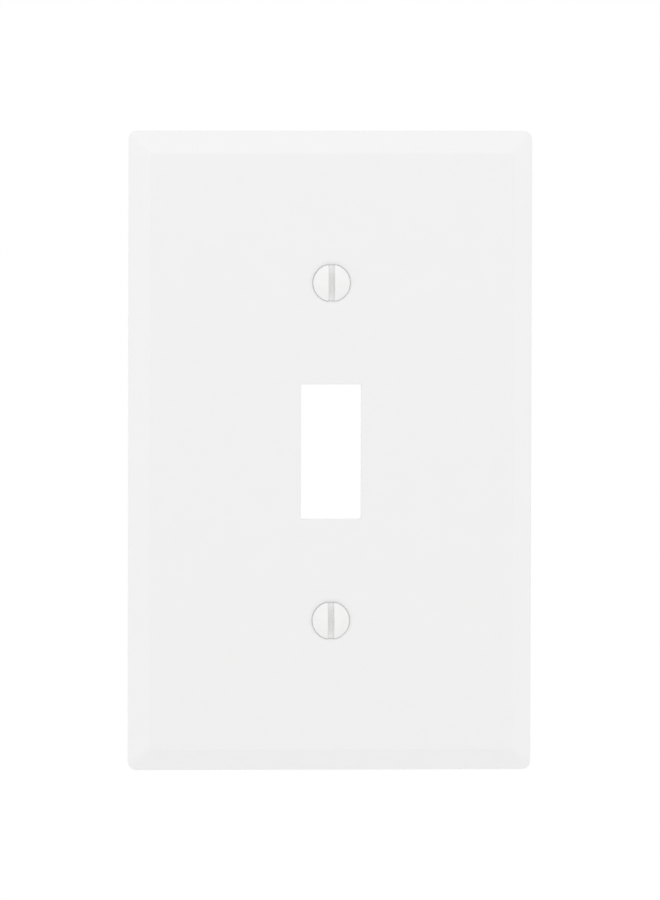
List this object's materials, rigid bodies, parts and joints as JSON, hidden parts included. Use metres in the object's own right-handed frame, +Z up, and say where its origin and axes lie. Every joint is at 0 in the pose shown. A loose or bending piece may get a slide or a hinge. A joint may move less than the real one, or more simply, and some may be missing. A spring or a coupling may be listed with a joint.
{
  "type": "wall plate cover",
  "caption": "Toggle switch wall plate: bevelled white plastic cover with a rectangular toggle opening, countersunk screw holes and oval-head screws.",
  "frame": {"origin": "centre of the plane that the plate's back rim rests on, midway between the two screws", "axes": "+Z up and +X to the right as seen from the front; the front faces -Y, so +Y points into the wall"},
  "size_m": [0.072, 0.0138, 0.1142],
  "materials": {
    "plate_plastic": "smooth semi-gloss moulded plastic, white",
    "screw_paint": "steel screw with a white painted head and plated thread"
  },
  "bodies": {
    "plate": {"plate": "plate_plastic"},
    "upper_screw": {"upper_screw": "screw_paint"},
    "lower_screw": {"lower_screw": "screw_paint"}
  },
  "joints": [
    {"name": "upper_screw_travel", "type": "slide", "parent": "plate", "child": "upper_screw", "axis": [0, -1, 0], "range_m": [0, 0.016]},
    {"name": "lower_screw_travel", "type": "slide", "parent": "plate", "child": "lower_screw", "axis": [0, -1, 0], "range_m": [0, 0.016]}
  ]
}
